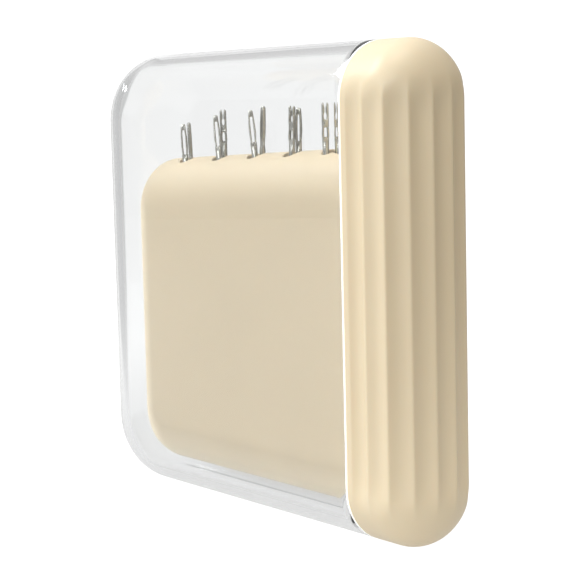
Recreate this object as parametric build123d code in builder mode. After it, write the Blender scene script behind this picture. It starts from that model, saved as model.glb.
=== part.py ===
from build123d import *
import math
import os

# A pocket case for sewing needles. A clear sleeve, open at one end, closes over a flat holder
# in which the needles stand on a magnet. The holder is carried by a fluted grip that closes
# the sleeve's open end, so grip and holder pull out together along +X.
# The case stands on its narrow foot: +X points to the grip, +Z up, and the origin is the middle
# of the foot. All sizes are in millimetres.

# The closed case
case_width = 82.0
case_height = 76.0
case_depth = 18.0
foot_cut = 0.3

# Clear sleeve
sleeve_corner = 12.0
sleeve_wall = 1.6
edge_land = 0.1
tongue_length = 2.0
tongue_wall = 0.5

# Fluted grip; the flute in the middle of the nose takes the relief off its reach
grip_width = 12.6
grip_nose = 7.0
nose_relief = 0.109
grip_wall = 2.0
grip_seat_wall = 1.4
rim_radius = 0.4
flute_count = 9
flute_pitch = 3.8
flute_depth = 0.55
ridge_land = 0.3

# Plate that closes the grip and carries the holder
plate_thickness = 1.6
spigot_length = 6.0
spigot_wall = 1.2

# Holder inside the sleeve
holder_length = 62.15
holder_bottom = 4.15
holder_top_at_grip = 60.05
holder_top_rise = 0.042
holder_depth = 12.5
holder_corner = 9.2
holder_round = 8.0
holder_wall = 1.4

# Cover in the back of the holder
cover_margin = 8.5
cover_corner = 4.0
cover_ledge = 1.5
cover_lip = 0.7

# Holes for the needles, counted from the closed end of the sleeve
hole_count = 5
hole_pitch = 9.7
first_hole = 49.15
hole_row_y = -1.0
hole_radius = 1.6
hole_mouth_radius = 1.9
hole_depth = 4.2

# Magnet, its keeper and the tray that holds them
magnet_length = 48.0
magnet_width = 6.0
magnet_thickness = 2.5
magnet_centre = 30.5
magnet_chamfer = 0.3
keeper_thickness = 0.6
tray_length = 52.0
tray_top = 11.2

# Needles
shank_radius = 0.5
point_length = 9.0
point_radius = 0.06
point_belly_radius = 0.35
point_belly_height = 4.05
head_length = 6.4
neck_radius = 0.45
shoulder_length = 2.0
head_radius = 0.58
crown_radius = 0.46
head_thickness = 0.6
eye_length = 4.4
eye_width = 0.46
eye_below_crown = 1.1
fork_width = 0.52
fork_depth = 0.9
channel_width = 0.16
upper_eye_length = 1.2
upper_eye_drop = 2.1
lower_eye_length = 1.7
lower_eye_drop = 4.7
pair_offset = 0.7

# Gaps between pieces
lap_gap = 0.05
seat_gap = 0.05
pocket_gap = 0.1
point_gap = 0.02

# Allowances for cuts that run past a surface, and for telling edges apart
overcut = 1.0
tolerance = 0.001

half_depth = case_depth / 2
section_height = case_height + foot_cut
section_middle = (case_height - foot_cut) / 2
rim_x = case_width / 2 - grip_width
nose_x = case_width / 2 + nose_relief - grip_nose
lap_inset = sleeve_wall - tongue_wall
plate_x = rim_x + tongue_length + pocket_gap
holder_left = rim_x - holder_length
holder_right = plate_x - seat_gap

os.makedirs("parts", exist_ok=True)


def finish(piece, name):
    """Name a finished piece and write it as its own file."""
    piece.part.label = name
    export_step(piece.part, f"parts/{name}.step")


def rounded_slab(left, right, bottom, top_left, top_right, corner, depth):
    """Upright slab with rounded left corners and fully rounded long edges, square at its right end."""
    with BuildPart() as slab:
        with BuildSketch(Plane.XZ):
            with BuildLine():
                Polyline((left, bottom), (right, bottom), (right, top_right), (left, top_left), close=True)
            make_face()
            fillet(vertices().group_by(Axis.X)[0], corner)
        extrude(amount=depth / 2, both=True)
        outline = edges().filter_by(lambda e: abs(abs(e.center().Y) - depth / 2) < tolerance)
        fillet(outline.filter_by(lambda e: e.center().X < right - tolerance), depth / 2 - edge_land)
    return slab.part


def case_section(inset):
    """Tall section of the closed case, square to X, drawn in by inset all round."""
    with Locations((0, section_middle)):
        SlotOverall(section_height - 2 * inset, case_depth - 2 * inset, rotation=90)


def sleeve_form(inset):
    """Outside form of the clear sleeve, drawn in by inset and run on past its open end."""
    return rounded_slab(
        inset - case_width / 2,
        rim_x + tongue_length + inset,
        inset - foot_cut,
        case_height - inset,
        case_height - inset,
        sleeve_corner - inset,
        case_depth - 2 * inset,
    )


def grip_form(inset):
    """Smooth form of the grip, drawn in by inset: a straight run, then a rounded nose with domed ends."""
    radius = half_depth - inset
    nose = grip_nose - inset
    dome_heights = (inset - foot_cut + radius, case_height - inset - radius)
    with BuildPart() as dome:
        Sphere(radius)
        scale(by=(nose / radius, 1, 1))
        split(bisect_by=Plane.YZ, keep=Keep.TOP)
    with BuildPart() as form:
        with BuildSketch(Plane.YZ.offset(rim_x)):
            case_section(inset)
        extrude(amount=nose_x - rim_x)
        with BuildSketch(Plane((nose_x, 0, dome_heights[0]))):
            with BuildLine():
                EllipticalCenterArc((0, 0), nose, radius, start_angle=-90, arc_size=180)
                Line((0, radius), (0, -radius))
            make_face()
        extrude(amount=dome_heights[1] - dome_heights[0])
        with Locations(*[(nose_x, 0, height) for height in dome_heights]):
            add(dome.part)
    return form.part


def crest_height(x):
    """Height of the holder's sloping top edge over the foot at x."""
    return holder_top_at_grip + holder_top_rise * (x - rim_x)


def row_height(x):
    """Height of the holder's rounded top over the foot at x, where the row of holes lies."""
    return crest_height(x) - holder_round * (1 - math.sqrt(1 - (hole_row_y / (holder_depth / 2)) ** 2))


def holder_form(inset):
    """Form of the holder, drawn in by inset and run on into the grip.

    Its edges curve in over holder_round in its own plane and over half its depth across it.
    """
    left = holder_left + inset
    edge = holder_round - inset
    slab = rounded_slab(
        left,
        plate_x + inset,
        holder_bottom + inset,
        crest_height(left) - inset,
        crest_height(plate_x + inset) - inset,
        holder_corner - inset,
        2 * edge,
    )
    with BuildPart() as form:
        add(slab)
        scale(by=(1, (holder_depth / 2 - inset) / edge, 1))
    return form.part


# Clear sleeve: a thin shell with a reduced tongue at its mouth that laps into the grip
with BuildPart() as clear_sleeve:
    add(sleeve_form(0))
    add(sleeve_form(sleeve_wall), mode=Mode.SUBTRACT)
    with BuildSketch(Plane.YZ.offset(rim_x)):
        Rectangle(2 * case_depth, 3 * case_height)
        with Locations((0, section_middle)):
            SlotOverall(
                section_height - 2 * lap_inset,
                case_depth - 2 * lap_inset,
                rotation=90,
                mode=Mode.SUBTRACT,
            )
    extrude(amount=tongue_length + overcut, mode=Mode.SUBTRACT)
    split(bisect_by=Plane.XY, keep=Keep.TOP)
finish(clear_sleeve, "clear_sleeve")

# Outline of the grip's plan, stepped off in equal flutes on both sides of its middle
with BuildLine() as smooth_plan:
    Line((rim_x, -half_depth), (nose_x, -half_depth))
    EllipticalCenterArc((nose_x, 0), grip_nose, half_depth, start_angle=-90, arc_size=180)
    Line((nose_x, half_depth), (rim_x, half_depth))
plan_path = smooth_plan.wire()
flute_width = flute_pitch - ridge_land
flute_radius = flute_width**2 / (8 * flute_depth) + flute_depth / 2
first_flute = (plan_path.length - (flute_count - 1) * flute_pitch) / 2


def flute_centre(number):
    """Middle of the round hollow that one flute is cut with, outside the grip's plan."""
    step = (first_flute + number * flute_pitch) / plan_path.length
    outward = plan_path.tangent_at(step).rotate(Axis.Z, -90)
    return plan_path.position_at(step) + outward * (flute_radius - flute_depth)


# Grip: a domed column cut with flutes that run out where its ends round off, hollowed, with
# seats for the closing plate and for the sleeve's tongue
with BuildPart() as fluted_grip:
    add(grip_form(0))
    fillet(edges().group_by(Axis.X)[0], rim_radius)
    for number in range(flute_count):
        with BuildSketch(Plane.XY.offset(-overcut)):
            with Locations(flute_centre(number)):
                Circle(flute_radius)
        extrude(amount=case_height + 2 * overcut, mode=Mode.SUBTRACT)
    add(grip_form(grip_wall), mode=Mode.SUBTRACT)
    with BuildSketch(Plane.YZ.offset(rim_x)):
        case_section(grip_seat_wall)
    extrude(amount=plate_x + plate_thickness - rim_x, mode=Mode.SUBTRACT)
    with BuildSketch(Plane.YZ.offset(rim_x)):
        case_section(lap_inset - lap_gap)
    extrude(amount=plate_x - rim_x, mode=Mode.SUBTRACT)
    split(bisect_by=Plane.XY, keep=Keep.TOP)
finish(fluted_grip, "fluted_grip")

# Closing plate of the grip, with a hollow spigot that plugs the open end of the holder
with BuildPart() as grip_closing_plate:
    add(holder_form(holder_wall + seat_gap))
    add(holder_form(holder_wall + seat_gap + spigot_wall), mode=Mode.SUBTRACT)
    split(bisect_by=Plane.YZ.offset(plate_x - spigot_length), keep=Keep.TOP)
    split(bisect_by=Plane.YZ.offset(plate_x), keep=Keep.BOTTOM)
    with BuildSketch(Plane.YZ.offset(plate_x)):
        case_section(grip_seat_wall + seat_gap)
    extrude(amount=plate_thickness)
finish(grip_closing_plate, "grip_closing_plate")

# Holder: a closed rounded shell with a row of round holes in its top edge and a window in its back
hole_places = [rim_x - first_hole + i * hole_pitch for i in range(hole_count)]
cover_left = holder_left + cover_margin
cover_right = rim_x - cover_margin
cover_bottom = holder_bottom + cover_margin
cover_top = crest_height(cover_left) - cover_margin
cover_place = ((cover_left + cover_right) / 2, (cover_bottom + cover_top) / 2)
cover_width = cover_right - cover_left
cover_height = cover_top - cover_bottom
back_y = holder_depth / 2


def cover_panel(margin):
    """Rounded panel of the back cover's outline, drawn in by margin, in the plane it is sketched on."""
    with Locations(cover_place):
        RectangleRounded(cover_width - 2 * margin, cover_height - 2 * margin, cover_corner - margin)


with BuildPart() as holder_body:
    add(holder_form(0))
    add(holder_form(holder_wall), mode=Mode.SUBTRACT)
    split(bisect_by=Plane.YZ.offset(holder_right), keep=Keep.BOTTOM)
    with Locations(*[(x, hole_row_y, row_height(x)) for x in hole_places]):
        CounterSinkHole(hole_radius, hole_mouth_radius, depth=hole_depth)
    with BuildSketch(Plane.XZ.offset(-back_y)):
        cover_panel(0)
    extrude(amount=cover_lip, mode=Mode.SUBTRACT)
    with BuildSketch(Plane.XZ.offset(-back_y)):
        cover_panel(cover_ledge)
    extrude(amount=2 * holder_wall, mode=Mode.SUBTRACT)
finish(holder_body, "holder_body")

# Back cover: a flush panel with a thicker middle that fills the window
with BuildPart() as holder_back_cover:
    with BuildSketch(Plane.XZ.offset(-back_y)):
        cover_panel(seat_gap)
    extrude(amount=cover_lip - seat_gap)
    with BuildSketch(Plane.XZ.offset(-back_y)):
        cover_panel(cover_ledge + seat_gap)
    extrude(amount=holder_wall)
finish(holder_back_cover, "holder_back_cover")

# Tray, keeper and magnet lie along the bottom of the holder, under the holes
magnet_x = rim_x - magnet_centre
magnet_bottom = tray_top - magnet_thickness
keeper_bottom = magnet_bottom - keeper_thickness

with BuildPart() as magnet_tray:
    add(holder_form(holder_wall + seat_gap))
    with Locations((magnet_x, 0, tray_top)):
        Box(
            tray_length,
            case_depth,
            2 * tray_top,
            align=(Align.CENTER, Align.CENTER, Align.MAX),
            mode=Mode.INTERSECT,
        )
    with BuildSketch(Plane.XY.offset(keeper_bottom)):
        with Locations((magnet_x, 0)):
            Rectangle(magnet_length + 2 * pocket_gap, magnet_width + 2 * pocket_gap)
    extrude(amount=tray_top, mode=Mode.SUBTRACT)
finish(magnet_tray, "magnet_tray")

with BuildPart() as keeper_plate:
    with BuildSketch(Plane.XY.offset(keeper_bottom)):
        with Locations((magnet_x, 0)):
            Rectangle(magnet_length, magnet_width)
    extrude(amount=keeper_thickness)
finish(keeper_plate, "keeper_plate")

with BuildPart() as magnet_bar:
    with BuildSketch(Plane.XY.offset(magnet_bottom)):
        with Locations((magnet_x, 0)):
            Rectangle(magnet_length, magnet_width)
    extrude(amount=magnet_thickness)
    chamfer(edges().group_by(Axis.Z)[-1], magnet_chamfer)
finish(magnet_bar, "magnet_bar")


def needle(hole_x, side, shift, lean, rise, turn, forked):
    """One needle from its point on the magnet to its head over the hole.

    side is -1 for the front of the hole and 1 for the back, shift moves it along X in the hole,
    lean tips its head towards -X in degrees, rise is the head's height over the holder's crest,
    turn faces the flat of the head, and forked heads have an open top instead of a closed eye.
    """
    tilt = math.radians(lean)
    crest = crest_height(hole_x)
    drop = crest - tray_top - point_gap
    tip_x = hole_x + shift + drop * math.tan(tilt)
    tip = Vector(tip_x, hole_row_y + side * pair_offset, tray_top + point_gap)
    upward = Vector(-math.sin(tilt), 0, math.cos(tilt))
    across = Vector(math.cos(tilt), 0, math.sin(tilt)).rotate(Axis((0, 0, 0), upward), turn)
    flat = Plane(tip, x_dir=across, z_dir=across.cross(upward))
    length = (drop + rise) / math.cos(tilt)
    neck = length - head_length
    with BuildPart() as piece:
        with BuildSketch(flat):
            with BuildLine():
                Line((0, 0), (point_radius, 0))
                ThreePointArc(
                    (point_radius, 0),
                    (point_belly_radius, point_belly_height),
                    (shank_radius, point_length),
                )
                Line((shank_radius, point_length), (shank_radius, neck))
                Line((shank_radius, neck), (0, neck + shank_radius))
                Line((0, neck + shank_radius), (0, 0))
            make_face()
        revolve(axis=Axis(tip, upward))
        with BuildSketch(flat):
            with Locations((0, neck)):
                Circle(neck_radius)
            with Locations((0, neck + shoulder_length)):
                Circle(head_radius)
            with Locations((0, length - crown_radius)):
                Circle(crown_radius)
            make_hull()
        extrude(amount=head_thickness / 2, both=True)
        with BuildSketch(flat):
            if forked:
                with Locations((0, length)):
                    Polygon((-fork_width / 2, 0), (0, -fork_depth), (fork_width / 2, 0), align=None)
                with Locations((0, length - upper_eye_drop / 2)):
                    Rectangle(channel_width, upper_eye_drop)
                with Locations((0, length - upper_eye_drop)):
                    SlotOverall(upper_eye_length, eye_width, rotation=90)
                with Locations((0, length - lower_eye_drop)):
                    SlotOverall(lower_eye_length, eye_width, rotation=90)
            else:
                with Locations((0, length - eye_below_crown - eye_length / 2)):
                    SlotOverall(eye_length, eye_width, rotation=90)
        extrude(amount=head_thickness, both=True, mode=Mode.SUBTRACT)
    return piece


# Needles, two in each hole: shift, lean, rise, turn and whether the head is forked
front_needles = [
    (-0.15, 4.6, 5.8, 50, False),
    (0.15, 6.5, 6.8, 52, False),
    (0.4, 7.4, 7.1, 55, False),
    (0.55, -2.0, 7.2, 20, True),
    (-0.7, 0.0, 7.2, 60, True),
]
back_needles = [
    (-0.5, 3.4, 6.0, -25, False),
    (-0.25, 1.1, 7.7, 40, True),
    (0.65, -3.7, 7.7, -10, False),
    (0.5, -1.6, 6.9, 30, False),
    (0.05, -1.9, 8.9, -20, True),
]
for number, hole_x in enumerate(hole_places, start=1):
    finish(needle(hole_x, -1, *front_needles[number - 1]), f"needle_{number}_front")
    finish(needle(hole_x, 1, *back_needles[number - 1]), f"needle_{number}_back")
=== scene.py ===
import math
import bmesh
import bpy
import numpy as np
from mathutils import Matrix, Vector


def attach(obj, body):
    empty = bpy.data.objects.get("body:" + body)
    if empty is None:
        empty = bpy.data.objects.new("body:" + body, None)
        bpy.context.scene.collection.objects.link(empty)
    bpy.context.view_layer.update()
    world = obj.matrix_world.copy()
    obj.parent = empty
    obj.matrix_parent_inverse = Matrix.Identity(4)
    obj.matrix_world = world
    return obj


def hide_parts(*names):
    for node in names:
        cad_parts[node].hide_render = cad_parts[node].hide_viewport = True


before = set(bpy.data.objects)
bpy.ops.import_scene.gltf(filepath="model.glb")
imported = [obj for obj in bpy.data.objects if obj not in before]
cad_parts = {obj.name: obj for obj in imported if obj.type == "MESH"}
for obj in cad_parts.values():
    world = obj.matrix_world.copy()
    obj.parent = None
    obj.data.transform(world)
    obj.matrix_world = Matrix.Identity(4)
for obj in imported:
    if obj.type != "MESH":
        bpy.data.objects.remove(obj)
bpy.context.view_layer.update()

# Pocket needle case: clear sleeve, fluted grip, and a holder with needles standing on a magnet.
# Lengths in the settings are in millimetres; meshes are written in metres.
mm = 0.001


# Grids to meshes.

def gridFaces(rows, columns, start, closed):
    # quads (i, j), (i+1, j), (i+1, j+1), (i, j+1) of a rows x columns grid; closed joins the last column to the first
    across = columns if closed else columns - 1
    i, j = np.meshgrid(np.arange(rows - 1), np.arange(across), indexing="ij")
    k = (j + 1) % columns
    quads = np.stack([i * columns + j, (i + 1) * columns + j, (i + 1) * columns + k, i * columns + k], axis=-1)
    return quads.reshape(-1, 4) + start


def meshFromGrids(name, grids, sharpDegrees=38):
    # stacks every grid's points into one mesh, welds the shared borders and turns all faces outwards
    points, faces, start = [], [], 0
    for grid in grids:
        grid, closed = grid if isinstance(grid, tuple) else (grid, False)
        rows, columns = grid.shape[:2]
        points.append(grid.reshape(-1, 3))
        faces.append(gridFaces(rows, columns, start, closed))
        start += rows * columns
    points = np.concatenate(points) * mm
    faces = np.concatenate(faces)
    mesh = bpy.data.meshes.new(name)
    mesh.from_pydata(points.tolist(), [], faces.tolist())
    work = bmesh.new()
    work.from_mesh(mesh)
    bmesh.ops.remove_doubles(work, verts=work.verts, dist=2e-6)
    bmesh.ops.dissolve_degenerate(work, dist=1e-7, edges=work.edges)
    bmesh.ops.recalc_face_normals(work, faces=work.faces)
    work.to_mesh(mesh)
    work.free()
    mesh.polygons.foreach_set("use_smooth", np.ones(len(mesh.polygons), bool))
    mesh.set_sharp_from_angle(angle=math.radians(sharpDegrees))
    mesh.update()
    piece = bpy.data.objects.new(name, mesh)
    bpy.context.scene.collection.objects.link(piece)
    return piece


def place(piece, body, slotName, material, replaced=()):
    piece.data.materials.append(material)
    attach(piece, body)
    if replaced:
        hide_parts(*replaced)
    work = bmesh.new()
    work.from_mesh(piece.data)
    openEdges = sum(1 for edge in work.edges if len(edge.link_faces) != 2)
    work.free()
    print(f"{piece.name}: {len(piece.data.polygons)} faces, {openEdges} open edges")


def blendRows(first, last, steps):
    # straight rows between two borders: first + t * (last - first) for t from 0 to 1
    t = np.linspace(0, 1, steps)[:, None, None]
    return first[None] + t * (last - first)[None]


# Upright slab with rounded corners and fully rounded long edges.

def slabPath(shape, topStations, sideSteps, arcSteps):
    # Core line of a slab and its outward directions, from the right end over the top, down the left side and back
    # along the bottom. The skin at distance d is core + d * (cos a * outward, with y = d * sin a).
    lean = math.atan((shape["topRight"] - shape["topLeft"]) / (shape["right"] - shape["left"]))
    corner, radius = shape["corner"], shape["radius"]
    centreX = shape["left"] + corner
    upperZ = shape["topLeft"] + math.tan(lean) * corner - corner / math.cos(lean)
    lowerZ = shape["bottom"] + corner
    turn = np.linspace(math.pi / 2 + lean, math.pi, arcSteps)
    upper = np.stack([np.cos(turn), np.sin(turn)], axis=-1)
    turn = np.linspace(math.pi, 1.5 * math.pi, arcSteps)
    lower = np.stack([np.cos(turn), np.sin(turn)], axis=-1)
    upperCore = np.array([centreX, upperZ]) + (corner - radius) * upper
    lowerCore = np.array([centreX, lowerZ]) + (corner - radius) * lower
    top = np.stack([topStations, upperCore[0, 1] + math.tan(lean) * (topStations - upperCore[0, 0])], axis=-1)
    side = np.linspace(upperCore[-1], lowerCore[0], sideSteps)[1:-1]
    bottomX = topStations[::-1]
    bottom = np.stack([bottomX, np.full_like(bottomX, lowerCore[-1, 1])], axis=-1)
    core = np.concatenate([top, upperCore, side, lowerCore, bottom])
    outward = np.concatenate([
        np.repeat(upper[:1], len(top), axis=0),
        upper,
        np.repeat(upper[-1:], len(side), axis=0),
        lower,
        np.repeat(lower[-1:], len(bottom), axis=0),
    ])
    return core, outward


def slabEdge(core, outward, distance, depth, angles):
    # rounded edge of the skin: core + distance * cos a * outward, y = depth * sin a, from the front (-90) to the back
    reach = distance * np.cos(angles)[None, :, None] * outward[:, None, :]
    flat = core[:, None, :] + reach
    y = np.broadcast_to(depth * np.sin(angles), flat.shape[:2])
    return np.stack([flat[..., 0], y, flat[..., 1]], axis=-1)


def slabFlat(core, middle, y, steps):
    # flat face: straight rows from the core line to a middle line at the height given, all at depth y
    spineX = np.maximum(core[:, 0], middle[0])
    spine = np.stack([spineX, np.full_like(spineX, middle[1])], axis=-1)
    share = np.concatenate([[0, 0.02, 0.08], np.linspace(0, 1, steps)[1:]])
    flat = core[:, None, :] + share[None, :, None] * (spine - core)[:, None, :]
    return np.stack([flat[..., 0], np.full(flat.shape[:2], y), flat[..., 1]], axis=-1)


# Clear sleeve: outer and inner skin of the slab, open at the right, with a tongue round its mouth.

sleeve = {
    "left": -41.0, "right": 28.37, "bottom": -0.3, "topLeft": 76.0, "topRight": 76.0,
    "corner": 12.0, "radius": 9.0, "wall": 1.6, "tongueLength": 2.03, "tongueSink": 1.1, "lip": 0.12,
    "mouthSkin": 0.012, "footGap": 0.008,
}


def sleeveSkin(distance, end):
    # one skin of the sleeve at a distance from its core plate, open at x = end
    stations = np.linspace(end, sleeve["left"] + sleeve["corner"], 40)[:-1]
    shape = dict(sleeve, right=end)
    core, outward = slabPath(shape, stations, 30, 16)
    angles = np.radians(np.linspace(-90, 90, 49))
    half = (sleeve["topLeft"] - sleeve["bottom"]) / 2
    middle = (sleeve["left"] + half, sleeve["bottom"] + half)
    return [
        slabEdge(core, outward, distance, distance, angles),
        slabFlat(core, middle, -distance, 9),
        slabFlat(core, middle, distance, 9),
    ], core, outward, angles, middle


def mouthSteps(profile, skin):
    # the mouth's edge: each (x, distance) of the profile gives one ring, made like the skin's own last border
    grids, core, outward, angles, middle = skin
    borders = []
    for end in (0, -1):
        rings = {"edge": [], "front": [], "back": []}
        for x, distance in profile:
            tip = core[end:][:1].copy() if end else core[:1].copy()
            tip[:, 0] = x
            direction = outward[end:][:1] if end else outward[:1]
            rings["edge"].append(slabEdge(tip, direction, distance, distance, angles)[0])
            rings["front"].append(slabFlat(tip, middle, -distance, 9)[0])
            rings["back"].append(slabFlat(tip, middle, distance, 9)[0])
        borders += [np.array(rings[key]) for key in ("edge", "front", "back")]
    return borders


def buildSleeve():
    # outer and inner skin joined at the mouth by a rounded lip, a step back to the tongue, and the tongue's tip
    outside, inside = sleeve["radius"], sleeve["radius"] - sleeve["wall"]
    tongue, lip = sleeve["radius"] - sleeve["tongueSink"], sleeve["lip"]
    rim, tip = sleeve["right"], sleeve["right"] + sleeve["tongueLength"]
    outer = sleeveSkin(outside, rim - lip)
    inner = sleeveSkin(inside, tip)
    profile = [
        (rim - lip, outside), (rim - 0.3 * lip, outside - 0.3 * lip), (rim, outside - lip), (rim, tongue),
        (tip - lip, tongue), (tip - 0.3 * lip, tongue - 0.3 * lip), (tip, tongue - lip), (tip, inside),
    ]
    grids = outer[0] + inner[0] + mouthSteps(profile, outer)
    for grid in grids:
        grid[..., 2] = np.maximum(grid[..., 2], 0)  # the foot is worn flat so that the case stands
    return meshFromGrids("sleeveShell", grids)


def buildMouthEdge():
    # thin matt skin over the lip, the step and the tongue, given a painted glow where the moulding's edge gathers the
    # light of the walls
    outside, tongue = sleeve["radius"], sleeve["radius"] - sleeve["tongueSink"]
    rim, lip, skin = sleeve["right"], sleeve["lip"], -sleeve["mouthSkin"]
    tip = rim + sleeve["tongueLength"] - lip
    outer = sleeveSkin(outside, rim - lip)
    profile = [
        (rim - lip, outside + 0.3 * skin), (rim - 0.3 * lip, outside - 0.3 * lip + skin), (rim + skin, outside - lip),
        (rim + skin, tongue + skin), (tip, tongue + skin), (tip, tongue + 0.3 * skin),
        (rim + 0.3 * skin, tongue + 0.3 * skin), (rim + 0.3 * skin, outside - lip),
        (rim - 0.3 * lip, outside - 0.3 * lip + 0.3 * skin), (rim - lip, outside + 0.3 * skin),
    ]
    grids = mouthSteps(profile, outer)
    level = np.array([0] * 5 + [sleeve["footGap"]] * 4 + [0])  # keeps the skin's two faces apart at the foot
    for grid in grids:
        grid[..., 2] = np.maximum(grid[..., 2], level[:, None])
    return meshFromGrids("sleeveMouthEdge", grids)


# Fluted grip: the plan carried upright, its ends rounded off, stepped open at the back for the sleeve.

grip = {
    "rim": 28.4, "nose": 34.109, "reach": 7.0, "radius": 9.0, "rimRound": 0.4, "bottom": -0.3, "top": 76.0,
    "wall": 2.0, "seat": 1.05, "plateSeat": 1.4, "seatEnd": 30.5, "plateEnd": 32.1,
    "flutes": 9, "pitch": 3.8, "depth": 0.66, "land": 0.3, "softness": 0.09, "arcSteps": 401, "sideSteps": 50,
    "fadeStart": 64.5, "fadeEnd": 71.0,
}


def planArc(reach, radius, count):
    # half ellipse x = nose + reach * cos t, y = radius * sin t, stepped off in equal lengths, with its outward normals
    t = np.linspace(-math.pi / 2, math.pi / 2, 4001)
    x, y = reach * np.cos(t), radius * np.sin(t)
    length = np.concatenate([[0], np.cumsum(np.hypot(np.diff(x), np.diff(y)))])
    even = np.interp(np.linspace(0, length[-1], count), length, t)
    points = np.stack([grip["nose"] + reach * np.cos(even), radius * np.sin(even)], axis=-1)
    normals = np.stack([radius * np.cos(even), reach * np.sin(even)], axis=-1)
    return points, normals / np.linalg.norm(normals, axis=1, keepdims=True), length[-1]


def gripOutside():
    # outside plan from the front rim round the nose to the back rim, and how deep the flutes are along it:
    # depth * (1 - (2 w / width)^2) at w from a flute's middle, with soft ridges between
    arc, arcNormals, arcLength = planArc(grip["reach"], grip["radius"], grip["arcSteps"])
    count = grip["sideSteps"]
    x = np.linspace(grip["rim"] + grip["rimRound"], grip["nose"], count)[:-1]
    front = np.stack([x, np.full_like(x, -grip["radius"])], axis=-1)
    back = front[::-1] * np.array([1, -1])
    points = np.concatenate([front, arc, back])
    side = np.repeat([[0.0, -1.0]], count - 1, axis=0)
    normals = np.concatenate([side, arcNormals, -side])
    along = np.concatenate([x - grip["nose"], np.linspace(0, arcLength, grip["arcSteps"]), arcLength + (x - grip["rim"]
                            - grip["rimRound"]) + (grip["nose"] - x[-1])])
    along -= arcLength / 2
    half = (grip["pitch"] - grip["land"]) / 2
    last = (grip["flutes"] - 1) / 2
    number = np.clip(np.round(along / grip["pitch"] + last), 0, 2 * last) - last
    w = along - number * grip["pitch"]
    raw = grip["depth"] * (1 - (w / half) ** 2)
    soft = 0.5 * (raw + np.sqrt(raw**2 + grip["softness"] ** 2))
    ridge = grip["depth"] * (1 - (grip["pitch"] / 2 / half) ** 2)
    ridge = 0.5 * (ridge + math.sqrt(ridge**2 + grip["softness"] ** 2))
    return points, normals, np.maximum(soft - ridge, 0)


def buildGrip():
    # the whole wall is one closed plan loop, lifted over the height: y shrinks with cos f and z grows with d * sin f
    # at the domed ends, where d is the loop point's own distance from the middle plane
    points, normals, depth = gripOutside()
    radius, rimRound = grip["radius"], grip["rimRound"]
    turn = np.radians(np.linspace(180, 90, 7))[:-1]
    lip = np.stack([grip["rim"] + rimRound + rimRound * np.cos(turn),
                    -(radius - rimRound) - rimRound * np.sin(turn)], axis=-1)
    innerArc, _, _ = planArc(grip["reach"] - grip["wall"], radius - grip["wall"], 81)
    seat, plateSeat, inner = radius - grip["seat"], radius - grip["plateSeat"], radius - grip["wall"]
    bore = np.array([
        (grip["nose"], -inner), (grip["plateEnd"], -inner), (grip["plateEnd"], -plateSeat),
        (grip["seatEnd"], -plateSeat), (grip["seatEnd"], -seat), (grip["rim"] + 0.1, -seat),
        (grip["rim"], -seat - 0.1),
    ])
    frontInside = np.concatenate([bore[1:], lip])
    backInside = frontInside[::-1] * np.array([1, -1])
    loop = np.concatenate([frontInside, points, backInside, innerArc[::-1]])
    away = np.concatenate([np.zeros_like(frontInside), normals, np.zeros_like(backInside), np.zeros_like(innerArc)])
    fluteDepth = np.zeros(len(loop))
    fluteDepth[len(frontInside):len(frontInside) + len(points)] = depth
    shellHalf = np.abs(loop[:, 1])
    shellHalf[len(frontInside):len(frontInside) + len(points)] = radius
    shellHalf[-len(innerArc):] = inner
    tilt = np.radians(np.concatenate([
        np.linspace(-90, 0, 31), np.zeros(40), np.linspace(0, 90, 31)]))
    lift = np.concatenate([np.zeros(31), np.linspace(0, 1, 42)[1:-1], np.ones(31)])
    low, high = grip["bottom"] + radius, grip["top"] - radius
    cos, sin = np.cos(tilt)[:, None], np.sin(tilt)[:, None]
    z = low + lift[:, None] * (high - low) + shellHalf[None] * sin
    toTop = grip["top"] - z
    toBottom = z - grip["bottom"]
    inset = np.minimum(toTop, toBottom)
    fade = np.clip((inset - (grip["top"] - grip["fadeEnd"])) / (grip["fadeEnd"] - grip["fadeStart"]), 0, 1)
    fade = fade * fade * (3 - 2 * fade)
    cut = fluteDepth[None] * fade
    x = loop[:, 0][None] - cut * away[:, 0][None]
    y = loop[:, 1][None] - cut * away[:, 1][None]
    past = loop[:, 0][None] > grip["nose"]
    x = np.where(past, grip["nose"] + (x - grip["nose"]) * cos, x)
    grid = np.stack([x, y * cos, np.maximum(z, 0)], axis=-1)
    return meshFromGrids("gripShell", [(grid, True)], 50)


# Holder with its row of holes and the window in its back.

holder = {
    "left": -33.75, "right": 30.45, "bottom": 4.15, "crestAtRim": 60.05, "rise": 0.042, "rim": 28.4,
    "corner": 9.2, "radius": 8.0, "depth": 6.25, "wall": 1.4,
    "holes": 5, "firstHole": 49.15, "pitch": 9.7, "rowY": -1.0, "holeRadius": 1.6, "mouthRadius": 1.9,
    "patch": 2.4, "patchTurn": 33, "edgeSteps": 13, "patchSteps": 15, "windowRound": 0.12,
    "coverMargin": 8.5, "coverCorner": 4.0, "ledge": 1.5, "lip": 0.7,
}


def crestHeight(x):
    # the holder's top rises evenly to the right: crest at the rim + rise * (x - rim)
    return holder["crestAtRim"] + holder["rise"] * (x - holder["rim"])


holder["topLeft"] = crestHeight(holder["left"])
holder["topRight"] = crestHeight(holder["right"])
holeXs = holder["rim"] - holder["firstHole"] + holder["pitch"] * np.arange(holder["holes"])


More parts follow.
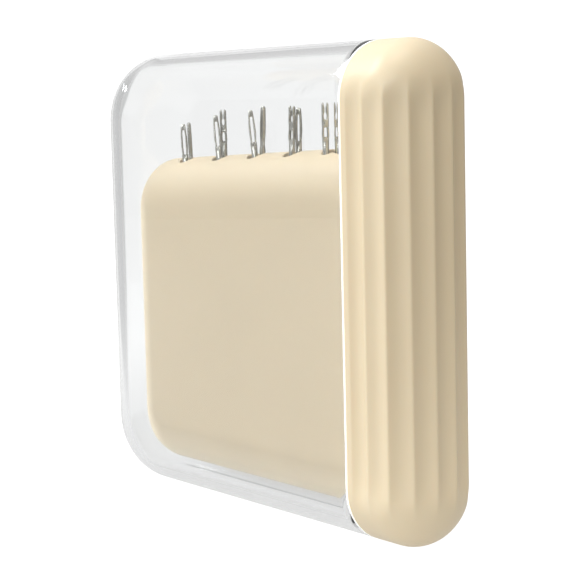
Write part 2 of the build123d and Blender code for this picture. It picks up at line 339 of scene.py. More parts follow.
def windowOutline(margin, bearings):
    # rounded rectangle round the cover's middle, met at the given bearings from that middle
    left = holder["left"] + holder["coverMargin"]
    right = holder["rim"] - holder["coverMargin"]
    low = holder["bottom"] + holder["coverMargin"]
    high = crestHeight(left) - holder["coverMargin"]
    middle = np.array([(left + right) / 2, (low + high) / 2])
    halfX, halfZ = (right - left) / 2 - margin, (high - low) / 2 - margin
    corner = holder["coverCorner"] - margin
    turn = np.linspace(0, math.pi / 2, 24)
    quarter = np.stack([halfX - corner + corner * np.cos(turn), halfZ - corner + corner * np.sin(turn)], axis=-1)
    ring = np.concatenate([
        quarter, quarter[::-1] * [-1, 1], quarter * [-1, -1], quarter[::-1] * [1, -1]])
    steps = np.linspace(0, 1, 25)[:-1][None, :, None]
    ring = (ring[:, None] + steps * (np.roll(ring, -1, axis=0) - ring)[:, None]).reshape(-1, 2)
    angle = np.unwrap(np.arctan2(ring[:, 1], ring[:, 0]))
    wrapped = np.mod(bearings - angle[0], 2 * math.pi) + angle[0]
    x = np.interp(wrapped, np.append(angle, angle[0] + 2 * math.pi), np.append(ring[:, 0], ring[0, 0]))
    z = np.interp(wrapped, np.append(angle, angle[0] + 2 * math.pi), np.append(ring[:, 1], ring[0, 1]))
    return np.stack([x, z], axis=-1) + middle, middle


def holePatch(core, outward, distance, halfDepth, centreX, columns, turns):
    # skin round one hole: rings blend from the patch's square border to the hole's circle
    border = np.concatenate([
        np.stack([columns, np.full_like(columns, turns[0])], axis=-1)[:-1],
        np.stack([np.full_like(turns, columns[-1]), turns], axis=-1)[:-1],
        np.stack([columns[::-1], np.full_like(columns, turns[-1])], axis=-1)[:-1],
        np.stack([np.full_like(turns, columns[0]), turns[::-1]], axis=-1)[:-1],
    ])
    up = outward[0]
    slope = -up[0] / up[1]

    def skin(station, y):
        reach = distance * np.sqrt(1 - (y / halfDepth) ** 2)
        z = core[0, 1] + slope * (station - core[0, 0])
        return np.stack([station + up[0] * reach, y, z + up[1] * reach], axis=-1)

    row = holder["rowY"]
    xBorder, yBorder = border[:, 0], halfDepth * np.sin(border[:, 1])
    centre = centreX - up[0] * distance * math.sqrt(1 - (row / halfDepth) ** 2)  # the core station under the hole
    bearing = np.arctan2(yBorder - row, xBorder - centre)
    circle = lambda radius: skin(centre + radius * np.cos(bearing), row + radius * np.sin(bearing))
    mouth = holder["mouthRadius"]
    t = np.linspace(0, 1, 6)[:, None]
    station = xBorder * (1 - t) + (centre + mouth * np.cos(bearing)) * t
    y = yBorder * (1 - t) + (row + mouth * np.sin(bearing)) * t
    return skin(station, y), circle


def holderSkins():
    # outer and inner skin of the slab with a patch cut out for each hole, and a throat from skin to skin in each:
    # the hole's mouth is a quarter round that runs from the mouth's radius in to the hole's
    radius, wall = holder["radius"], holder["wall"]
    lean = math.atan(holder["rise"])
    shift = math.sin(lean) * radius
    stations, spans = [], []
    edge = holder["right"]
    for centre in holeXs[::-1] + shift:
        high, low = centre + holder["patch"], centre - holder["patch"]
        stations += list(np.linspace(edge, high, 4)[:-1]) + list(np.linspace(high, low, 11)[:-1])
        spans.append((high, low))
        edge = low
    stations = np.array(stations + [edge])
    core, outward = slabPath(holder, stations, 26, 14)
    turnLimit, edgeSteps, patchSteps = holder["patchTurn"], holder["edgeSteps"], holder["patchSteps"]
    turns = np.radians(np.concatenate([
        np.linspace(-90, -turnLimit, edgeSteps)[:-1], np.linspace(-turnLimit, turnLimit, patchSteps),
        np.linspace(turnLimit, 90, edgeSteps)[1:]]))
    first, last = edgeSteps - 1, edgeSteps + patchSteps - 2  # the columns where the holes' patches begin and end
    half = (core[len(stations), 1] - core[-1, 1]) / 2
    middle = (core[:, 0].min() + half, core[-1, 1] + half)
    spanIndex = [(int(np.argmin(abs(stations - high))), int(np.argmin(abs(stations - low)))) for high, low in spans]
    grids = []
    throats = {}
    for distance, halfDepth in ((radius, holder["depth"]), (radius - wall, holder["depth"] - wall)):
        skinGrid = slabEdge(core, outward, distance, halfDepth, turns)
        begin = 0
        grids += [skinGrid[:, :first + 1], skinGrid[:, last:]]
        for number, (start, stop) in enumerate(spanIndex):
            if start > begin:
                grids.append(skinGrid[begin:start + 1, first:last + 1])
            rings, circle = holePatch(
                core, outward, distance, halfDepth, holeXs[::-1][number], stations[start:stop + 1],
                turns[first:last + 1])
            grids.append((rings, True))
            throats.setdefault(number, []).append((rings[-1], circle))
            begin = stop
        grids.append(skinGrid[begin:, first:last + 1])
        grids.append(slabFlat(core, middle, -halfDepth, 8))
    mouth, throat = holder["mouthRadius"], holder["holeRadius"]
    for (outerRing, outerCircle), (innerRing, innerCircle) in throats.values():
        rows = [outerRing]
        for turn in np.radians(np.linspace(18, 90, 5)):
            ring = outerCircle(mouth - (mouth - throat) * math.sin(turn))
            ring[:, 2] -= (mouth - throat) * (1 - math.cos(turn))
            rows.append(ring)
        rows += [innerCircle(throat), innerRing]
        grids.append((np.array(rows), True))
    return grids, core, outward, turns, middle


def holderBack(core):
    # back wall: rings from the core line in to the window, down over its ledge and out again along the inner wall
    radius, inner = holder["depth"], holder["depth"] - holder["wall"]
    right = np.linspace(core[-1], core[0], 24)[1:-1]
    loop = np.concatenate([core, right])
    _, middle = windowOutline(0, np.zeros(1))
    bearings = np.arctan2(loop[:, 1] - middle[1], loop[:, 0] - middle[0])
    window, _ = windowOutline(0, bearings)
    opening, _ = windowOutline(holder["ledge"], bearings)
    lip = radius - holder["lip"]
    nudge = holder["windowRound"]

    def atDepth(ring, y):
        return np.stack([ring[:, 0], np.full(len(ring), y), ring[:, 1]], axis=-1)

    softWindow, _ = windowOutline(-nudge, bearings)
    rows = list(blendRows(atDepth(loop, radius), atDepth(softWindow, radius), 7))
    rows += [atDepth(window * 0.3 + softWindow * 0.7, radius - 0.3 * nudge), atDepth(window, radius - nudge)]
    rows += [atDepth(window, lip), atDepth(opening, lip), atDepth(opening, inner)]
    rows += list(blendRows(atDepth(opening, inner), atDepth(loop, inner), 5))[1:]
    return np.array(rows), loop


def buildHolder():
    # skins, back wall with its window, and the flat rim that joins outer and inner skin at the open right end
    grids, core, outward, turns, middle = holderSkins()
    back, loop = holderBack(core)
    grids.append((back, True))
    insets = (0, holder["wall"])
    for end in (0, -1):  # the open right end, from the outer skin to the inner one
        tip = core[end][None]
        direction = outward[end][None]
        grids.append(np.array([
            slabEdge(tip, direction, holder["radius"] - d, holder["depth"] - d, turns)[0] for d in insets]))
        grids.append(np.array([slabFlat(tip, middle, d - holder["depth"], 8)[0] for d in insets]))
    rightLoop = np.concatenate([loop[len(core) - 1:], loop[:1]])
    grids.append(np.array([
        np.stack([rightLoop[:, 0], np.full(len(rightLoop), holder["depth"] - d), rightLoop[:, 1]], axis=-1)
        for d in insets]))
    return meshFromGrids("holderShell", grids, 50)


# Needles.

needle = {
    "trayTop": 11.22, "offset": 0.7, "shank": 0.5, "tip": 0.06, "pointLength": 9.0, "pointPower": 1.8,
    "head": 6.4, "shoulder": 0.58, "neck": 0.45, "crown": 0.46, "thickness": 0.6,
    "eyeLength": 4.4, "eyeWidth": 0.46, "eyeBelowCrown": 1.1,
    "forkWidth": 0.52, "forkDepth": 0.9, "channel": 0.16, "upperEye": 1.2, "upperDrop": 2.1,
    "lowerEye": 1.7, "lowerDrop": 4.7, "prong": 0.55, "bridge": 0.56, "prongRound": 0.45,
    "ringSteps": 20, "squareness": 0.6,
}
# shift, lean, rise, turn and whether the head is forked, as they stand in each hole
frontNeedles = [
    (-0.15, 4.6, 5.8, 50, False), (0.15, 6.5, 6.8, 52, False), (0.4, 7.4, 7.1, 55, False),
    (0.55, -2.0, 7.2, 20, True), (-0.7, 0.0, 7.2, 60, True),
]
backNeedles = [
    (-0.5, 3.4, 6.0, -25, False), (-0.25, 1.1, 7.7, 40, True), (0.65, -3.7, 7.7, -10, False),
    (0.5, -1.6, 6.9, 30, False), (0.05, -1.9, 8.9, -20, True),
]


def eyeRing(centre, halfSlot, low, high, radii, count=64):
    # a closed band round one eye: at bearing t a rounded section spans from the slot's edge to the head's edge
    t = np.linspace(0, 2 * math.pi, count, endpoint=False)
    along = np.clip(1.6 * np.sin(t), -1, 1)
    slot = needle["eyeWidth"] / 2
    innerX, innerH = slot * np.cos(t), centre + (halfSlot - slot) * along + slot * np.sin(t)
    outerR = np.interp(along, [-1, -0.2, 1], radii)
    outerX = outerR * np.cos(t)
    outerH = (low + high) / 2 + (high - low) / 2 * along + outerR * np.sin(t)
    s = np.linspace(0, 2 * math.pi, needle["ringSteps"], endpoint=False)
    squash = lambda v: np.sign(v) * np.abs(v) ** needle["squareness"]
    share = 0.5 + 0.5 * squash(np.cos(s))[:, None]
    x = innerX + share * (outerX - innerX)
    h = innerH + share * (outerH - innerH)
    y = np.broadcast_to(needle["thickness"] / 2 * squash(np.sin(s))[:, None], x.shape)
    ring = np.stack([x, y, h], axis=-1)
    return np.concatenate([ring, ring[:1]]), True


def flatTube(heights, left, right, thickness):
    # a rounded bar: at each height its section reaches from left to right and is as thick as given
    s = np.linspace(0, 2 * math.pi, needle["ringSteps"], endpoint=False)
    squash = lambda v, p: np.sign(v) * np.abs(v) ** p
    middle, half = (left + right) / 2, (right - left) / 2
    x = middle[:, None] + half[:, None] * squash(np.cos(s), 0.8)[None]
    y = thickness[:, None] * squash(np.sin(s), 0.8)[None]
    z = np.broadcast_to(heights[:, None], x.shape)
    return np.stack([x, y, z], axis=-1), True


def needleGrids(length, forked):
    neck = length - needle["head"]
    # shank: radius tip + (shank - tip) * (1 - (1 - h / point)^p), round below and flattening into the head
    h = np.concatenate([np.linspace(0, needle["pointLength"], 24), np.linspace(needle["pointLength"], neck - 1, 6)[1:],
                        np.linspace(neck - 1, neck + 1.1, 12)[1:]])
    grow = 1 - (1 - np.clip(h / needle["pointLength"], 0, 1)) ** needle["pointPower"]
    radius = needle["tip"] + (needle["shank"] - needle["tip"]) * grow
    ease = np.clip((h - neck + 1) / 1.6, 0, 1)
    ease = ease * ease * (3 - 2 * ease)
    wide = radius + (needle["shoulder"] - 0.04 - radius) * ease
    thin = radius + (needle["thickness"] / 2 - radius) * ease
    capped = lambda values: np.concatenate([[0], values, [0]])
    h = np.concatenate([h[:1], h, h[-1:]])
    s = np.linspace(0, 2 * math.pi, needle["ringSteps"], endpoint=False)
    shank = np.stack([
        capped(wide)[:, None] * np.cos(s)[None], capped(thin)[:, None] * np.sin(s)[None],
        np.broadcast_to(h[:, None], (len(h), len(s)))], axis=-1)
    grids = [(shank, True)]
    slot = needle["eyeWidth"] / 2
    if not forked:
        half = needle["eyeLength"] / 2
        grids.append(eyeRing(length - needle["eyeBelowCrown"] - half, half, neck + 0.55, length - needle["crown"],
                             [needle["neck"], needle["shoulder"], needle["crown"]]))
        return grids
    lower = length - needle["lowerDrop"]
    prong, prongRound, width = needle["prong"], needle["prongRound"], needle["bridge"]
    grids.append(eyeRing(lower, needle["lowerEye"] / 2, neck + 0.5, lower + 0.9,
                         [needle["neck"], needle["shoulder"], prong]))
    # bridge between the eyes, as wide as the head
    bridge = np.linspace(lower + needle["lowerEye"] / 2 + 0.05, length - needle["upperDrop"] - 0.55, 6)
    bridge = np.concatenate([bridge[:1], bridge, bridge[-1:]])
    full = np.array([0] + [width] * 6 + [0])
    grids.append(flatTube(bridge, -full, full, full / width * needle["thickness"] / 2))
    # two prongs: the inner side follows the upper eye's ellipse and then the fork's mouth, and the tops are rounded
    up = np.concatenate([np.linspace(length - needle["upperDrop"] - 0.75, length - prongRound, 24),
                         length - prongRound + prongRound * np.sin(np.radians(np.linspace(10, 90, 7)))])
    eye = slot * np.sqrt(np.clip(1 - ((up - length + needle["upperDrop"]) / (needle["upperEye"] / 2)) ** 2, 0, 1))
    mouth = np.interp(up, [length - needle["forkDepth"], length], [needle["channel"] / 2, needle["forkWidth"] / 2])
    inside = np.where(up > length - needle["upperDrop"], np.maximum(eye, mouth), np.where(eye > 0, eye, -0.01))
    crownTurn = np.clip((up - length + prongRound) / prongRound, 0, 1)
    outside = prong - (prong - mouth) * (1 - np.sqrt(1 - crownTurn**2)) * (crownTurn > 0)
    thick = needle["thickness"] / 2 * np.sqrt(np.clip(1 - crownTurn**4, 0.0, 1))
    wrap = lambda values, ends: np.concatenate([[ends[0]], values, [ends[1]]])
    middle = (inside + outside) / 2
    heights = wrap(up, (up[0], up[-1]))
    near = wrap(inside, (middle[0], middle[-1]))
    far = wrap(outside, (middle[0], middle[-1]))
    depth = wrap(thick, (0, 0))
    grids.append(flatTube(heights, near, far, depth))
    grids.append(flatTube(heights, -far, -near, depth))
    return grids


def buildNeedle(name, holeX, side, shift, lean, rise, turn, forked):
    # stands the needle on the magnet, leaning by the angle given and turned about its own length: local x is the
    # flat of its head, local z its length, and the length runs from the tray's top to the height over the crest
    tilt = math.radians(lean)
    drop = crestHeight(holeX) - needle["trayTop"]
    length = (drop + rise) / math.cos(tilt)
    tipX, tipY = holeX + shift + drop * math.tan(tilt), holder["rowY"] + side * needle["offset"]
    tip = Vector((tipX, tipY, needle["trayTop"]))
    matrix = Matrix.Translation(tip) @ Matrix.Rotation(-tilt, 4, "Y") @ Matrix.Rotation(math.radians(turn), 4, "Z")
    rotation = np.array(matrix.to_3x3())
    grids = [(grid @ rotation.T + np.array(tip), closed) for grid, closed in needleGrids(length, forked)]
    return meshFromGrids(name, grids, 60)


# Materials.

def newMaterial(name):
    material = bpy.data.materials.new(name)
    material.use_nodes = True
    tree = material.node_tree
    shader = tree.nodes["Principled BSDF"]
    return material, tree, shader


def objectNoise(tree, scale, detail, distortion=0.0):
    place = tree.nodes.new("ShaderNodeTexCoord")
    noise = tree.nodes.new("ShaderNodeTexNoise")
    noise.inputs["Scale"].default_value = scale
    noise.inputs["Detail"].default_value = detail
    noise.inputs["Distortion"].default_value = distortion
    tree.links.new(place.outputs["Object"], noise.inputs["Vector"])
    return noise


def ramp(tree, source, stops):
    node = tree.nodes.new("ShaderNodeValToRGB")
    for element, (position, colour) in zip(node.color_ramp.elements, stops):
        element.position = position
        element.color = (*colour, 1)
    tree.links.new(source, node.inputs["Fac"])
    return node


def paintedRimLight(tree, shader, colour, settings):
    # painted light: paler where the rounded rim turns down and to the closed end, by the normal's share in that
    # direction, standing in for the light the rim catches from the floor and the left
    surface = tree.nodes.new("ShaderNodeNewGeometry")
    dot = tree.nodes.new("ShaderNodeVectorMath")
    dot.operation = "DOT_PRODUCT"
    dot.inputs[1].default_value = settings["rimLightSide"]
    tree.links.new(surface.outputs["Normal"], dot.inputs[0])
    share = tree.nodes.new("ShaderNodeMapRange")
    share.inputs["From Min"].default_value = settings["rimFrom"]
    share.inputs["From Max"].default_value = settings["rimTo"]
    tree.links.new(dot.outputs["Value"], share.inputs["Value"])
    mix = tree.nodes.new("ShaderNodeMix")
    mix.data_type = "RGBA"
    first, second = [socket for socket in mix.inputs if socket.type == "RGBA"]
    second.default_value = (*settings["rimLightColour"], 1)
    tree.links.new(share.outputs["Result"], mix.inputs["Factor"])
    tree.links.new(colour, first)
    tree.links.new(next(socket for socket in mix.outputs if socket.type == "RGBA"), shader.inputs["Base Color"])


def mouldedPlastic(name, settings):
    # moulded satin plastic: faint flow clouding in the colour, fine grain in the bump and a little gloss, and where
    # the settings ask for it a painted rim light
    material, tree, shader = newMaterial(name)
    cloud = objectNoise(tree, settings["cloudScale"], 3, 0.6)
    tint = ramp(tree, cloud.outputs["Fac"], [(0.3, settings["dark"]), (0.7, settings["light"])])
    tree.links.new(tint.outputs["Color"], shader.inputs["Base Color"])
    # painted light on the rounded rim, by the surface normal
    if "rimLightColour" in settings:
        paintedRimLight(tree, shader, tint.outputs["Color"], settings)
    grain = objectNoise(tree, settings["grainScale"], 2)
    bump = tree.nodes.new("ShaderNodeBump")
    bump.inputs["Strength"].default_value = settings["bump"]
    bump.inputs["Distance"].default_value = 0.00003
    tree.links.new(grain.outputs["Fac"], bump.inputs["Height"])
    tree.links.new(bump.outputs["Normal"], shader.inputs["Normal"])
    shine = tree.nodes.new("ShaderNodeMapRange")
    shine.inputs["To Min"].default_value = settings["roughness"] - 0.04
    shine.inputs["To Max"].default_value = settings["roughness"] + 0.04
    tree.links.new(cloud.outputs["Fac"], shine.inputs["Value"])
    tree.links.new(shine.outputs["Result"], shader.inputs["Roughness"])
    shader.inputs["IOR"].default_value = 1.49
    shader.inputs["Subsurface Weight"].default_value = settings["softLight"]
    shader.inputs["Subsurface Radius"].default_value = (1.0, 0.6, 0.35)
    shader.inputs["Subsurface Scale"].default_value = 0.0012
    return material


def clearPlastic(name, settings):
    # clear moulded polystyrene: glass that lets the lamps through, with a faint waviness of the mould
    material, tree, shader = newMaterial(name)
    shader.inputs["Base Color"].default_value = (*settings["tint"], 1)
    shader.inputs["Transmission Weight"].default_value = 1.0
    shader.inputs["IOR"].default_value = settings["ior"]
    wave = objectNoise(tree, settings["waveScale"], 2, 0.3)
    shine = tree.nodes.new("ShaderNodeMapRange")
    shine.inputs["To Min"].default_value = settings["roughness"]
    shine.inputs["To Max"].default_value = settings["roughness"] + 0.015
    tree.links.new(wave.outputs["Fac"], shine.inputs["Value"])
    tree.links.new(shine.outputs["Result"], shader.inputs["Roughness"])
    output = tree.nodes["Material Output"]
    through = tree.nodes.new("ShaderNodeBsdfTransparent")
    through.inputs["Color"].default_value = (*settings["shadow"], 1)
    path = tree.nodes.new("ShaderNodeLightPath")
    mix = tree.nodes.new("ShaderNodeMixShader")
    tree.links.new(path.outputs["Is Shadow Ray"], mix.inputs["Fac"])
    tree.links.new(shader.outputs["BSDF"], mix.inputs[1])
    tree.links.new(through.outputs["BSDF"], mix.inputs[2])
    tree.links.new(mix.outputs["Shader"], output.inputs["Surface"])
    return material


def glowingFrostedEdge(name, settings):
    # matt edge of clear plastic: pale, with fine grain, and a painted glow (emission) standing for the light that the
    # walls carry along
    material, tree, shader = newMaterial(name)
    grain = objectNoise(tree, settings["grainScale"], 2)
    tint = ramp(tree, grain.outputs["Fac"], [(0.3, settings["dark"]), (0.7, settings["light"])])
    tree.links.new(tint.outputs["Color"], shader.inputs["Base Color"])
    # painted glow: emission in the edge's own colour, standing for light carried along the walls
    tree.links.new(tint.outputs["Color"], shader.inputs["Emission Color"])
    shader.inputs["Emission Strength"].default_value = settings["glow"]
    shader.inputs["Roughness"].default_value = settings["roughness"]
    return material


def platedSteel(name, settings):
    # drawn and plated wire: long fine streaks along the needle in roughness and bump
    material, tree, shader = newMaterial(name)
    shader.inputs["Metallic"].default_value = 1.0
    place = tree.nodes.new("ShaderNodeTexCoord")
    stretch = tree.nodes.new("ShaderNodeMapping")
    stretch.inputs["Scale"].default_value = settings["stretch"]
    noise = tree.nodes.new("ShaderNodeTexNoise")
    noise.inputs["Scale"].default_value = settings["streakScale"]
    noise.inputs["Detail"].default_value = 3
    tree.links.new(place.outputs["Object"], stretch.inputs["Vector"])
    tree.links.new(stretch.outputs["Vector"], noise.inputs["Vector"])
    tint = ramp(tree, noise.outputs["Fac"], [(0.3, settings["dark"]), (0.7, settings["light"])])
    tree.links.new(tint.outputs["Color"], shader.inputs["Base Color"])
    shine = tree.nodes.new("ShaderNodeMapRange")
    shine.inputs["To Min"].default_value = settings["roughness"] - 0.05
    shine.inputs["To Max"].default_value = settings["roughness"] + 0.08
    tree.links.new(noise.outputs["Fac"], shine.inputs["Value"])
    tree.links.new(shine.outputs["Result"], shader.inputs["Roughness"])
    bump = tree.nodes.new("ShaderNodeBump")
    bump.inputs["Strength"].default_value = 0.2
    bump.inputs["Distance"].default_value = 0.00001
    tree.links.new(noise.outputs["Fac"], bump.inputs["Height"])
    tree.links.new(bump.outputs["Normal"], shader.inputs["Normal"])
    return material


beigePlastic = mouldedPlastic("beigePlastic", {
    "dark": (0.80, 0.665, 0.455), "light": (0.825, 0.69, 0.475), "cloudScale": 40, "grainScale": 2500,
    "bump": 0.12, "roughness": 0.38, "softLight": 0.1,
})
# the grip's beige made darker: painted shade for the holder seen under the sleeve, with painted light on its lower and
# left rim
shadedHolderPlastic = mouldedPlastic("shadedHolderPlastic", {
    "dark": (0.565, 0.467, 0.318), "light": (0.59, 0.488, 0.333), "cloudScale": 40, "grainScale": 2500,
    "bump": 0.05, "roughness": 0.5, "softLight": 0.1,
    "rimLightColour": (0.98, 0.85, 0.63), "rimLightSide": (-1.0, 0, -0.8), "rimFrom": 0.1, "rimTo": 0.6,
})
clearSleeve = clearPlastic("clearPlastic", {
    "tint": (0.985, 0.99, 0.99), "shadow": (0.94, 0.94, 0.94), "ior": 1.49, "roughness": 0.0, "waveScale": 30,
})
# pale matt skin with a painted glow over the sleeve's mouth
mouthGlowEdge = glowingFrostedEdge("glowingFrostedPlastic", {
    "dark": (0.86, 0.86, 0.84), "light": (0.93, 0.93, 0.91), "grainScale": 1500, "roughness": 0.6, "glow": 0.55,
})
needleSteel = platedSteel("needleSteel", {
    "dark": (0.40, 0.395, 0.36), "light": (0.60, 0.595, 0.55), "roughness": 0.24, "stretch": (1, 1, 0.04),
    "streakScale": 6000,
})
keeperSteel = platedSteel("keeperSteel", {
    "dark": (0.42, 0.42, 0.43), "light": (0.55, 0.55, 0.56), "roughness": 0.35, "stretch": (0.05, 1, 1),
    "streakScale": 2500,
})
magnetDark = mouldedPlastic("magnetDark", {
    "dark": (0.045, 0.045, 0.05), "light": (0.075, 0.075, 0.08), "cloudScale": 300, "grainScale": 3000,
    "bump": 0.5, "roughness": 0.55, "softLight": 0.0,
})
print("materials ready")

# The object's pieces, each on its body.

place(buildSleeve(), "sleeve", "clear_plastic", clearSleeve, ["clear_sleeve"])
place(buildMouthEdge(), "sleeve", "clear_plastic", mouthGlowEdge)
place(buildGrip(), "drawer", "beige_plastic", beigePlastic, ["fluted_grip"])
place(buildHolder(), "drawer", "beige_plastic", shadedHolderPlastic, ["holder_body"])
for number, holeX in enumerate(holeXs, start=1):
    for sideName, side, rows in (("front", -1, frontNeedles), ("back", 1, backNeedles)):
        piece = buildNeedle(f"needle{number}{sideName.title()}", holeX, side, *rows[number - 1])
        name = f"needle_{number}_{sideName}"
        place(piece, name, "needle_steel", needleSteel, [name])
# the plate, cover and tray wear the holder's darker copy of the beige, with its painted shade
for node, material in (
    ("grip_closing_plate", shadedHolderPlastic), ("holder_back_cover", shadedHolderPlastic), ("magnet_tray", shadedHolderPlastic),
    ("keeper_plate", keeperSteel), ("magnet_bar", magnetDark),
):
    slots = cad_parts[node].data.materials
    slots.clear()
    slots.append(material)
print("object dressed")

# Floor, light and camera.

studio = {
    "front": -0.12, "reach": 0.30, "bend": 0.16, "wallTop": 0.26, "left": 0.70, "right": 0.30, "paper": 0.15,
    "glow": 0.835, "leftGlow": 0.40, "rightGlow": 0.30, "viewSlope": 0.178, "viewStart": 0.2675,
    "fadeFrom": 0.002, "fadeTo": 0.045, "frontFade": (0.052, 0.085), "frontGlow": 0.25,
    "nearFade": (-0.22, -0.01), "nearGlow": 0.60, "seenGlow": 1.0, "zenithFrom": 0.25, "zenithLight": 0.7,
    "brightSide": (-0.8, -0.5, 0.3), "brightLight": 0.52, "darkLight": 0.26, "lightSpan": (-0.6, 0.7),
    "brightTint": (1, 1, 1), "darkTint": (1, 0.94, 0.84), "tintSpan": (-0.6, 0.2),
}
# soft lamps: degrees round from the camera (left is negative), degrees up, watts
lamps = {
    "keyLamp": (-100, 46, 3.0), "sideLamp": (-60, 20, 0.4), "frontLamp": (-24, 24, 1.6), "topLamp": (0, 80, 0.9),
    "backLamp": (-142, 8, 4.0),
}
lampDistance, lampSize, lampTarget, lampColour = 0.8, 0.34, 0.038, (0.94, 0.97, 1.0)


def beyond(tree, place, direction, begin, end):
    # how far a floor point lies outside the camera's view, as a soft step: direction . point from begin to end
    dot = tree.nodes.new("ShaderNodeVectorMath")
    dot.operation = "DOT_PRODUCT"
    dot.inputs[1].default_value = (*direction, 0)
    tree.links.new(place.outputs["Object"], dot.inputs[0])
    step = tree.nodes.new("ShaderNodeMapRange")
    step.interpolation_type = "SMOOTHSTEP"
    step.inputs["From Min"].default_value = begin
    step.inputs["From Max"].default_value = end
    tree.links.new(dot.outputs["Value"], step.inputs["Value"])
    return step


def buildFloor():
    # small table sweep that curves up behind the case: flat to the bend, a quarter circle, then upright
    bend, reach = studio["bend"], studio["reach"]
    turn = np.linspace(0, math.pi / 2, 25)
    away = np.concatenate([[studio["front"]], [reach], reach + bend * np.sin(turn[1:]), [reach + bend]])
    rise = np.concatenate([[0.0], [0.0], bend - bend * np.cos(turn[1:]), [studio["wallTop"]]])
    across = np.linspace(-studio["left"], studio["right"], 11)
    forward = np.array([-math.sin(math.radians(shot["yaw"])), math.cos(math.radians(shot["yaw"]))])
    sideways = np.array([forward[1], -forward[0]])
    xy = away[:, None, None] * forward + across[None, :, None] * sideways
    z = np.broadcast_to(rise[:, None], xy.shape[:2])
    grid = np.concatenate([xy, z[..., None]], axis=-1) / mm
    floor = meshFromGrids("paperSweep", [grid])
    material, tree, shader = newMaterial("sweepPaper")
    shader.inputs["Base Color"].default_value = (*[studio["paper"]] * 3, 1)
    shader.inputs["Roughness"].default_value = 0.9
    shader.inputs["Specular IOR Level"].default_value = 0.1
    shader.inputs["Emission Color"].default_value = (1, 1, 1, 1)
    place = tree.nodes.new("ShaderNodeTexCoord")
    slope, margin = studio["viewSlope"], studio["viewSlope"] * studio["viewStart"]
    sideFade = (studio["fadeFrom"] + margin, studio["fadeTo"] + margin)
    previous = None
    for direction, fade, outerGlow in (
        (-sideways - slope * forward, sideFade, studio["leftGlow"]),
        (sideways - slope * forward, sideFade, studio["rightGlow"]),
        (-forward, studio["nearFade"], studio["nearGlow"]),
        (-forward, studio["frontFade"], studio["frontGlow"]),
    ):
        step = beyond(tree, place, direction, *fade)
        mix = tree.nodes.new("ShaderNodeMix")
        mix.inputs["A"].default_value = studio["glow"]
        mix.inputs["B"].default_value = outerGlow
        tree.links.new(step.outputs["Result"], mix.inputs["Factor"])
        if previous:
            tree.links.new(previous.outputs["Result"], mix.inputs["A"])
        previous = mix
    path = tree.nodes.new("ShaderNodeLightPath")  # the paper itself is seen white, its light on the case is softer
    seen = tree.nodes.new("ShaderNodeMix")
    seen.inputs["B"].default_value = studio["seenGlow"]
    tree.links.new(path.outputs["Is Camera Ray"], seen.inputs["Factor"])
    tree.links.new(previous.outputs["Result"], seen.inputs["A"])
    tree.links.new(seen.outputs["Result"], shader.inputs["Emission Strength"])
    floor.data.materials.append(material)


def softLamp(name, location, target, size, power, colour):
    # square soft box at the location, turned to the target
    lamp = bpy.data.lights.new(name, "AREA")
    lamp.shape = "RECTANGLE"
    lamp.size = lamp.size_y = size
    lamp.energy = power
    lamp.color = colour
    stand = bpy.data.objects.new(name, lamp)
    stand.location = location
    stand.rotation_euler = (target - location).to_track_quat("-Z", "Y").to_euler()
    bpy.context.scene.collection.objects.link(stand)


shot = {
    "yaw": 51.9545, "pitch": 6.4144, "roll": -1.3820, "sideShift": 14.8618, "upShift": -0.2672,
    "distance": 246.7230, "focal": 1624.9655, "frame": 580, "rim": 28.4, "middleHeight": 38.0,
}


def buildCamera():
    # at the photograph's angle: degrees round, down and rolled, shifts and distance in millimetres, focal in pixels
    yaw, pitch, roll = (math.radians(shot[key]) for key in ("yaw", "pitch", "roll"))
    look = Vector((-math.sin(yaw) * math.cos(pitch), math.cos(yaw) * math.cos(pitch), -math.sin(pitch)))
    right = Vector((math.cos(yaw), math.sin(yaw), 0))
    up = right.cross(look)
    right, up = math.cos(roll) * right + math.sin(roll) * up, math.cos(roll) * up - math.sin(roll) * right
    spot = Vector((shot["rim"], 0, shot["middleHeight"]))
    spot -= shot["sideShift"] * right + shot["upShift"] * up + shot["distance"] * look
    data = bpy.data.cameras.new("camera")
    data.sensor_width = 36
    data.lens = shot["focal"] / shot["frame"] * 36
    data.clip_start = 0.01
    camera = bpy.data.objects.new("camera", data)
    rotation = Matrix((right, up, -look)).transposed().to_4x4()
    camera.matrix_world = Matrix.Translation(spot * mm) @ rotation
    bpy.context.scene.collection.objects.link(camera)
    bpy.context.scene.camera = camera


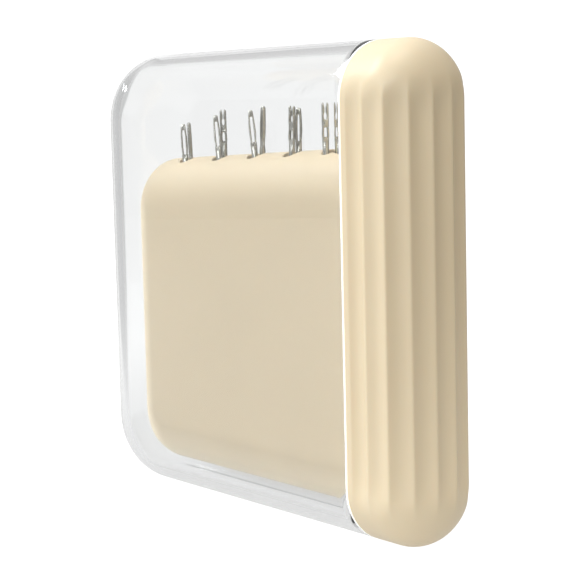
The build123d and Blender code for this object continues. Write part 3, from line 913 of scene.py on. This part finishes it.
buildFloor()
buildCamera()
for lampName, (azimuth, elevation, power) in lamps.items():
    bearing, height = math.radians(shot["yaw"] + azimuth), math.radians(elevation)
    aim = Vector((0, 0, lampTarget))
    toLamp = Vector((math.sin(bearing) * math.cos(height), -math.cos(bearing) * math.cos(height), math.sin(height)))
    softLamp(lampName, aim + lampDistance * toLamp, aim, lampSize, power, lampColour)


def buildWorld():
    # soft light all round, brighter from the upper left and overhead: strength follows the direction's dot with the
    # bright side, with more added as the direction nears the zenith
    world = bpy.data.worlds.new("studio")
    world.use_nodes = True
    tree = world.node_tree
    place = tree.nodes.new("ShaderNodeTexCoord")
    dot = tree.nodes.new("ShaderNodeVectorMath")
    dot.operation = "DOT_PRODUCT"
    dot.inputs[1].default_value = Vector(studio["brightSide"]).normalized()
    tree.links.new(place.outputs["Generated"], dot.inputs[0])
    scale = tree.nodes.new("ShaderNodeMapRange")
    scale.inputs["From Min"].default_value, scale.inputs["From Max"].default_value = studio["lightSpan"]
    scale.inputs["To Min"].default_value = studio["darkLight"]
    scale.inputs["To Max"].default_value = studio["brightLight"]
    tree.links.new(dot.outputs["Value"], scale.inputs["Value"])
    axes = tree.nodes.new("ShaderNodeSeparateXYZ")
    tree.links.new(place.outputs["Generated"], axes.inputs["Vector"])
    overhead = tree.nodes.new("ShaderNodeMapRange")
    overhead.interpolation_type = "SMOOTHSTEP"
    overhead.inputs["From Min"].default_value = studio["zenithFrom"]
    overhead.inputs["From Max"].default_value = 1.0
    overhead.inputs["To Max"].default_value = studio["zenithLight"]
    tree.links.new(axes.outputs["Z"], overhead.inputs["Value"])
    total = tree.nodes.new("ShaderNodeMath")
    tree.links.new(scale.outputs["Result"], total.inputs[0])
    tree.links.new(overhead.outputs["Result"], total.inputs[1])
    tree.links.new(total.outputs["Value"], tree.nodes["Background"].inputs["Strength"])
    share = tree.nodes.new("ShaderNodeMapRange")
    share.inputs["From Min"].default_value, share.inputs["From Max"].default_value = studio["tintSpan"]
    tree.links.new(dot.outputs["Value"], share.inputs["Value"])
    tint = ramp(tree, share.outputs["Result"], [(0, studio["darkTint"]), (1, studio["brightTint"])])
    tree.links.new(tint.outputs["Color"], tree.nodes["Background"].inputs["Color"])
    bpy.context.scene.world = world


buildWorld()
bpy.context.scene.view_settings.view_transform = "Standard"
print("studio ready")
